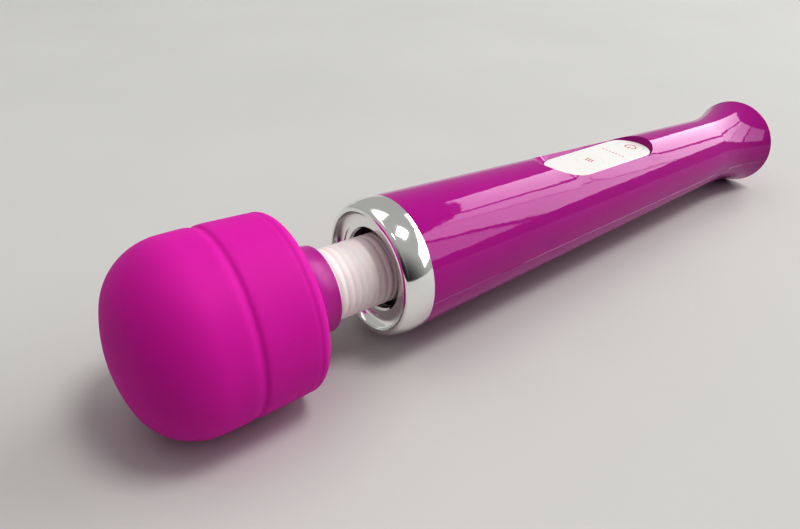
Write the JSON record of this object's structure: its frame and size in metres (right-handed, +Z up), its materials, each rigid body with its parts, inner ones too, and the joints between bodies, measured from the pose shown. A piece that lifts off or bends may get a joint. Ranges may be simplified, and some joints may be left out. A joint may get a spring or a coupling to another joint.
{
  "type": "handheld wand massager",
  "caption": "Wand massager with a soft round head on a flexible ribbed neck, a chrome ring and a tapered glossy handle with a white key panel.",
  "frame": {"origin": "centre of the box's bottom, on the line below the wand's axis where the head touches a table", "axes": "+X runs along the wand from the head to the tail, +Z is up out of the control panel, +Y completes the right-handed frame"},
  "size_m": [0.32, 0.061, 0.061],
  "materials": {
    "silicone_magenta": "matt silky silicone",
    "collar_gloss": "glossy moulded",
    "handle_gloss": "high gloss lacquer",
    "throat_plastic": "glossy dark moulded",
    "neck_white": "satin",
    "chrome": "bright plated",
    "panel_white": "satin white",
    "core_plastic": "as moulded",
    "black_plastic": "as moulded",
    "plunger_plastic": "as moulded",
    "black_rubber": "matt",
    "steel": "ground",
    "black_steel": "black oxide",
    "motor_steel": "zinc plated",
    "nickel": "rolled",
    "magnet": "sintered ferrite",
    "armature": "laminations and enamelled wire",
    "copper": "drawn",
    "brass": "turned",
    "carbon": "pressed carbon",
    "cell_wrap": "shrink sleeve",
    "board_green": "solder resist",
    "lead_red": "insulated wire",
    "lead_black": "insulated wire"
  },
  "bodies": {
    "handle": {"chrome_ring": "chrome", "neck_mount": "throat_plastic", "ring_screws": "steel", "neck_rear_plug": "core_plastic", "motor_can": "motor_steel", "motor_magnets": "magnet", "motor_front_bush": "brass", "motor_end_cap": "black_plastic", "motor_rear_bush": "brass", "motor_brushes": "carbon", "motor_terminals": "copper", "motor_front_mount": "black_rubber", "motor_rear_mount": "black_rubber", "upper_shell": "handle_gloss", "lower_shell": "handle_gloss", "shell_screws": "black_steel", "tail_cap": "handle_gloss", "charge_jack": "black_plastic", "jack_pin": "steel", "battery_cell_front": "cell_wrap", "battery_cell_rear": "cell_wrap", "battery_cradle": "core_plastic", "battery_straps": "nickel", "control_panel": "panel_white", "mode_switch": "black_plastic", "power_switch": "black_plastic", "circuit_board": "board_green", "board_screws": "steel", "control_chips": "black_plastic", "motor_leads": "lead_red", "battery_leads": "lead_black", "jack_leads": "lead_red"},
    "neck": {"neck_sleeve": "neck_white", "neck_spring": "steel"},
    "head": {"head_cover": "silicone_magenta", "head_core_front": "core_plastic", "head_collar": "collar_gloss", "head_core_screws": "steel", "head_front_bearing": "steel", "head_rear_bearing": "steel", "neck_front_plug": "core_plastic"},
    "rotor": {"motor_shaft": "steel", "motor_armature": "armature", "motor_commutator": "copper", "shaft_coupling": "brass", "flexible_shaft": "steel"},
    "weight": {"head_shaft": "steel", "eccentric_weight": "steel", "weight_grub_screw": "black_steel", "head_coupling": "brass"},
    "mode_key": {"mode_button": "panel_white", "mode_plunger": "plunger_plastic"},
    "power_key": {"power_button": "panel_white", "power_plunger": "plunger_plastic"}
  },
  "joints": [
    {"name": "neck_yaw", "type": "hinge", "parent": "handle", "child": "neck", "pos_m": [-0.077, 0, 0.0305], "axis": [0, 0, 1], "range_deg": [-25, 25], "stiffness_Nm_per_rad": 3, "deforming": ["neck_sleeve", "neck_spring", "flexible_shaft"]},
    {"name": "neck_pitch", "type": "hinge", "parent": "neck", "child": "head", "pos_m": [-0.088, 0, 0.0305], "axis": [0, 1, 0], "range_deg": [-25, 25], "stiffness_Nm_per_rad": 3, "deforming": ["neck_sleeve", "neck_spring", "flexible_shaft"]},
    {"name": "motor_spin", "type": "hinge", "parent": "handle", "child": "rotor", "pos_m": [-0.03, 0, 0.0305], "axis": [1, 0, 0], "continuous": true},
    {"name": "weight_spin", "type": "hinge", "parent": "head", "child": "weight", "pos_m": [-0.134, 0, 0.0305], "axis": [1, 0, 0], "continuous": true},
    {"name": "mode_press", "type": "slide", "parent": "handle", "child": "mode_key", "axis": [0, 0, -1], "range_m": [0, 0.00025], "stiffness_N_per_m": 1500},
    {"name": "power_press", "type": "slide", "parent": "handle", "child": "power_key", "axis": [0, 0, -1], "range_m": [0, 0.00025], "stiffness_N_per_m": 1500}
  ],
  "couplings": [
    {"joint": "weight_spin", "follows": "motor_spin", "ratio": 1}
  ]
}
